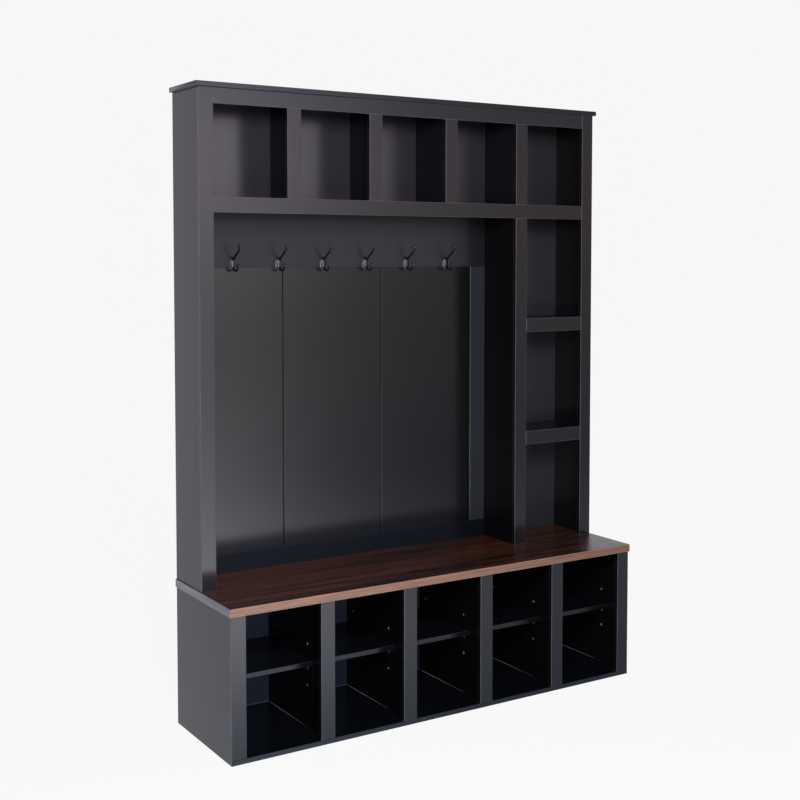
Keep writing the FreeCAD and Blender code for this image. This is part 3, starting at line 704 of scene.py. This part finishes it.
def coat_hook(node):
    """One hook in the place of its node; its plate begins at the foot of the node's box."""
    low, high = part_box(node)
    seat = np.array([(low.x + high.x) / 2, high.y, low.z + PLATE_HEIGHT / 2])
    shell = Shell()
    for rings in HOOK_FORMS:
        shell.tube(rings + seat)
    thing = shell.piece(f"{node}_smooth", "stand", "hook_metal", hook_black)
    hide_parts(node)


for node in numbered("coat_hook", HOOKS):
    coat_hook(node)


def bay_walls():
    """The walls of the base bays from left to right: where each stands and which way it looks."""
    walls = [(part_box("base_left_side")[1].x, 1)]
    for node in numbered("base_divider", BAYS - 1):
        low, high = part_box(node)
        walls += [(low.x, -1), (high.x, 1)]
    return walls + [(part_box("base_right_side")[0].x, -1)]


# Lips of the open shelf pin holes: above and below the shelf, near its front and its back.
LIP_RADIUS = 0.0030
LIP_BAR_RADIUS = 0.0003
LIP_HEIGHTS = (0.146, 0.274)
LIP_DEPTHS = (-0.080, 0.147)


def lip_rings(middle, out, around=10, steps=20):
    """A round bar bent into a circle about a level line, sunk by half into the board.

    At angle a round the hole and b round the bar the point stands at R + r cos b from the hole's
    line and r sin b out of the board, with R the lip's radius and r the bar's own.
    """
    angle = np.linspace(0, 2 * math.pi, steps)[:, None]
    turn = np.linspace(0, 2 * math.pi, around, endpoint=False)[None, :]
    reach = LIP_RADIUS + LIP_BAR_RADIUS * np.cos(turn)
    rings = np.empty((steps, around, 3))
    rings[..., 0] = out * LIP_BAR_RADIUS * np.sin(turn)
    rings[..., 1] = reach * np.cos(angle)
    rings[..., 2] = reach * np.sin(angle)
    return rings + np.array(middle)


def pin_hole_lips():
    """Four lips on each wall of the bays."""
    shell = Shell()
    for wall, out in bay_walls():
        for depth in LIP_DEPTHS:
            for height in LIP_HEIGHTS:
                shell.tube(lip_rings((wall, depth, height), out))
    shell.piece("pin_hole_lips", "stand", "carcase_laminate", hole_lip)


pin_hole_lips()


# Thin pale beads of painted light along the floor corners of the bays, over a share of each
# corner's length.
BEAD_RADIUS = 0.0010
BEAD_END_RADIUS = 0.00006
BEAD_TAPER = 0.6
BEAD_REACH = 0.72


def bead_rings(start, run, axis, around=10, steps=14):
    """A thin round bead along a straight corner, sunk by half into the boards that meet there.

    At a share s of its run its radius is r + (e - r) s^t, with r and e the first and last radius
    and t the taper. A run below zero goes against the axis and turns the rings round.
    """
    share = np.linspace(0, 1, steps)
    radius = (BEAD_RADIUS + (BEAD_END_RADIUS - BEAD_RADIUS) * share ** BEAD_TAPER)[:, None]
    turn = np.linspace(0, 2 * math.pi, around, endpoint=False) * np.sign(run)
    one, two = (axis + 1) % 3, (axis + 2) % 3
    rings = np.empty((steps, around, 3))
    rings[..., axis] = (start[axis] + run * share)[:, None]
    rings[..., one] = start[one] + radius * np.cos(turn)
    rings[..., two] = start[two] + radius * np.sin(turn)
    return rings


def bay_floor_light_beads():
    """From both rear corners of each bay a bead runs along the back and one along the wall."""
    shell = Shell()
    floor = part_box("base_bottom")[1].z
    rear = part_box("base_back_panel")[0].y
    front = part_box("base_divider_1")[0].y
    walls = bay_walls()
    width = walls[1][0] - walls[0][0]
    for wall, inward in walls:
        corner = (wall, rear, floor)
        shell.tube(bead_rings(corner, inward * width * BEAD_REACH, ALONG_X))
        shell.tube(bead_rings(corner, (front - rear) * BEAD_REACH, ALONG_Y))
    shell.piece("bay_floor_light_beads", "stand", "carcase_laminate", corner_light_finish)


bay_floor_light_beads()


# Carcase boards, panels and shelf supports keep their solids.
SOLID_FINISHES = (
    (carcase, ["base_left_side", "base_right_side", "hutch_left_side", "hutch_right_side"]),
    (divider_finish, ["column_divider"] + numbered("base_divider", BAYS - 1)),
    (cubby_side, numbered("cubby_divider", CUBBIES - 1)),
    (carcase_level, ["cubby_floor", "column_shelf_1", "column_shelf_2"]),
    (back_panel, ["upper_back_panel"]),
    (column_panel, ["column_back_panel"]),
    (base_panel, ["base_back_panel"]),
    (base_floor, ["base_bottom"]),
    (zinc, ["shelf_supports"]),
)
for material, kept_nodes in SOLID_FINISHES:
    for node in kept_nodes:
        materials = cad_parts[node].data.materials
        materials.clear()
        materials.append(material)


# Studio: a pale floor, soft lights and the photograph's camera.
AMBIENT = 0.14
LAMP_COLOUR = (0.95, 0.98, 1.05)
WHITE = grey(0.93)
BACKDROP = (0.83, 0.82, 0.91)
FLOOR_HALF = 14.0
FLOOR_SHADE = 0.45
FLOOR_ROUGHNESS = 0.9
FLOOR_GLOW = 1.022
FLOOR_GLOW_SHARE = 0.90


def seen_directly(nodes, path):
    """1 for what the camera sees straight or through something clear, else 0."""
    return nodes.maths("MAXIMUM", path["Is Camera Ray"], path["Is Transmission Ray"])


def floor_finish():
    """Pale floor: the camera sees mostly an even glow like the white behind, faintly shaded."""
    material, nodes, shader = new_material("pale_floor")
    nodes.put(shader, {"Base Color": opaque(grey(FLOOR_SHADE)), "Roughness": FLOOR_ROUGHNESS})
    path = nodes.add("ShaderNodeLightPath").outputs
    glow = nodes.add("ShaderNodeEmission", {"Color": opaque(grey(FLOOR_GLOW)), "Strength": 1.0})
    share = nodes.maths("MULTIPLY", seen_directly(nodes, path), FLOOR_GLOW_SHARE)
    mix = nodes.add("ShaderNodeMixShader", {0: share, 1: shader.outputs[0], 2: glow.outputs[0]})
    nodes.put(nodes.tree.nodes["Material Output"], {"Surface": mix.outputs[0]})
    return material


def pale_floor():
    """A square floor under the stand, which gloss does not see."""
    mesh = bpy.data.meshes.new("floor")
    corners = np.array([(-1, -1, 0), (1, -1, 0), (1, 1, 0), (-1, 1, 0)]) * FLOOR_HALF
    mesh.from_pydata(corners, [], [[0, 1, 2, 3]])
    floor = bpy.data.objects.new("floor", mesh)
    bpy.context.scene.collection.objects.link(floor)
    mesh.materials.append(floor_finish())
    floor.visible_glossy = False


# What gloss sees ahead, as colours or levels laid along a direction. A direction says how far it
# goes sideways or up for each step forward. The window is a level sideways times a colour upward,
# and its reach stretches it sideways from its edge at each height. The room is added to it.
WINDOW_EDGE = 0.40
WINDOW_REACH = ((-1.0, 0.7), (-0.33, 0.7), (-0.28, 1.0), (-0.22, 1.5), (-0.12, 1.0), (1.0, 1.0))
WINDOW_SIDEWAYS = (
    (-3.0, 0.5), (-1.75, 0.5), (-1.5, 7.5), (-1.15, 7.5), (-0.95, 0.3), (-0.75, 0.4), (-0.62, 1.0),
    (-0.42, 1.5), (-0.28, 0.3), (0.15, 1.0), (0.38, 3.5), (0.46, 3.3), (0.54, 0.98), (0.64, 0.26),
    (0.80, 0.04), (1.5, 0.0))
WINDOW_UPWARD = (
    (-1.5, grey(0.12)), (-0.55, grey(0.12)), (-0.42, (0.0, 0.05, 0.12)),
    (-0.375, (0.52, 0.63, 0.88)), (-0.31, (2.30, 2.30, 2.35)), (-0.20, (1.05, 1.04, 1.10)),
    (-0.08, (0.48, 0.47, 0.50)), (0.02, (0.84, 0.79, 0.86)), (0.09, (1.50, 1.35, 1.50)),
    (0.16, (0.9, 0.85, 1.0)), (0.21, (0.30, 0.30, 0.48)), (0.26, (0.45, 0.68, 1.35)),
    (0.36, (0.45, 0.70, 1.4)), (0.46, grey(0.25)), (1.5, grey(0.15)))
ROOM_UPWARD = (
    (-1.5, (0.42, 0.42, 0.45)), (-0.55, (0.42, 0.43, 0.47)), (-0.43, (0.22, 0.32, 0.50)),
    (-0.36, (0.62, 0.69, 0.88)), (-0.30, (0.80, 0.80, 0.90)), (-0.235, (0.11, 0.16, 0.27)),
    (-0.12, (0.43, 0.40, 0.45)), (0.09, (0.84, 0.64, 0.56)), (0.16, (0.7, 0.55, 0.5)),
    (0.215, (0.32, 0.32, 0.42)), (0.26, (0.50, 0.78, 1.40)), (0.36, (0.50, 0.80, 1.45)),
    (0.47, (0.40, 0.40, 0.43)), (1.5, (0.42, 0.42, 0.45)))

# The step forward never counts as less than this. A direction's part along y turns the backdrop
# into what is ahead between these two values.
LEAST_FORWARD = 0.02
BACKDROP_FROM, AHEAD_FROM = 0.05, -0.2


def colour_band(nodes, value, stops):
    """Colours laid along a value from the first stop to the last, joined smoothly."""
    low, high = stops[0][0], stops[-1][0]
    places = [((place - low) / (high - low), colour) for place, colour in stops]
    return nodes.ramp(nodes.share(value, low, high), *places, ease=True)


def level_band(nodes, value, stops):
    """The same with levels of grey."""
    return colour_band(nodes, value, [(place, grey(level)) for place, level in stops])


def surroundings(nodes):
    """What gloss sees: a pale backdrop behind the stand, and the window and the room ahead."""
    parts = nodes.split(nodes.coordinates("Generated"))
    forward = nodes.maths("MAXIMUM", nodes.maths("MULTIPLY", parts[1], -1.0), LEAST_FORWARD)
    sideways = nodes.maths("DIVIDE", parts[0], forward)
    upward = nodes.maths("DIVIDE", parts[2], forward)
    reach = level_band(nodes, upward, WINDOW_REACH)
    spread = nodes.maths("MULTIPLY", nodes.maths("SUBTRACT", sideways, WINDOW_EDGE), reach)
    spread = nodes.maths("ADD", spread, WINDOW_EDGE)
    levels = level_band(nodes, spread, WINDOW_SIDEWAYS)
    window = nodes.vector_maths("MULTIPLY", levels, colour_band(nodes, upward, WINDOW_UPWARD))
    ahead = nodes.vector_maths("ADD", window, colour_band(nodes, upward, ROOM_UPWARD))
    return nodes.mix(nodes.share(parts[1], BACKDROP_FROM, AHEAD_FROM), opaque(BACKDROP), ahead)


def background(nodes, colour, strength):
    """Light of a colour from all round."""
    return nodes.add("ShaderNodeBackground", {"Color": colour, "Strength": strength}).outputs[0]


def soft_world():
    """White to the camera, the surroundings to gloss, and a soft even light on everything."""
    world = bpy.data.worlds.new("studio")
    bpy.context.scene.world = world
    world.use_nodes = True
    world.cycles.sampling_method = "NONE"
    world.node_tree.nodes.clear()
    nodes = Nodes(world.node_tree)
    path = nodes.add("ShaderNodeLightPath").outputs
    white = background(nodes, opaque(WHITE), 1.0)
    seen = background(nodes, surroundings(nodes), 1.0)
    soft = background(nodes, opaque(grey(1.0)), AMBIENT)
    mix = nodes.add("ShaderNodeMixShader", {0: path["Is Glossy Ray"], 1: soft, 2: seen})
    both = nodes.add("ShaderNodeMixShader", {
        0: seen_directly(nodes, path), 1: mix.outputs[0], 2: white})
    nodes.add("ShaderNodeOutputWorld", {"Surface": both.outputs[0]})


def panel_light(name, place, target, width, height, power):
    """A flat soft light at a place, facing a target, a little cool."""
    lamp = bpy.data.lights.new(name, "AREA")
    lamp.shape = "RECTANGLE"
    lamp.size = width
    lamp.size_y = height
    lamp.energy = power
    lamp.color = LAMP_COLOUR
    thing = bpy.data.objects.new(name, lamp)
    bpy.context.scene.collection.objects.link(thing)
    thing.visible_glossy = False
    thing.location = place
    thing.rotation_euler = (Vector(target) - Vector(place)).to_track_quat("-Z", "Y").to_euler()


# The camera, solved from the photograph's straight edges: sensor and lens in millimetres, place
# in metres, and how far it looks below level and turns from straight ahead, in degrees.
SENSOR_WIDTH = 36.0
LENS = 56.382
SHIFT_Y = -0.10
FARTHEST = 60.0
CAMERA_PLACE = (-2.2089, -3.4106, 1.4560)
CAMERA_DIP = 2.973
CAMERA_TURN = -32.219


def photo_camera():
    """The photograph's camera."""
    camera = bpy.data.cameras.new("photo_camera")
    camera.sensor_width = SENSOR_WIDTH
    camera.lens = LENS
    camera.shift_y = SHIFT_Y
    camera.clip_end = FARTHEST
    thing = bpy.data.objects.new("photo_camera", camera)
    bpy.context.scene.collection.objects.link(thing)
    thing.location = CAMERA_PLACE
    thing.rotation_euler = (math.radians(90.0 - CAMERA_DIP), 0.0, math.radians(CAMERA_TURN))
    bpy.context.scene.camera = thing


pale_floor()
soft_world()
panel_light("key", place=(-1.2, -2.5, 2.2), target=(0.0, 0.0, 0.9),
            width=1.0, height=0.8, power=74.0)
panel_light("low_fill", place=(-1.5, -2.6, 0.5), target=(-0.3, 0.0, 0.25),
            width=0.8, height=0.4, power=16.0)
photo_camera()
bpy.context.scene.view_settings.view_transform = "Standard"
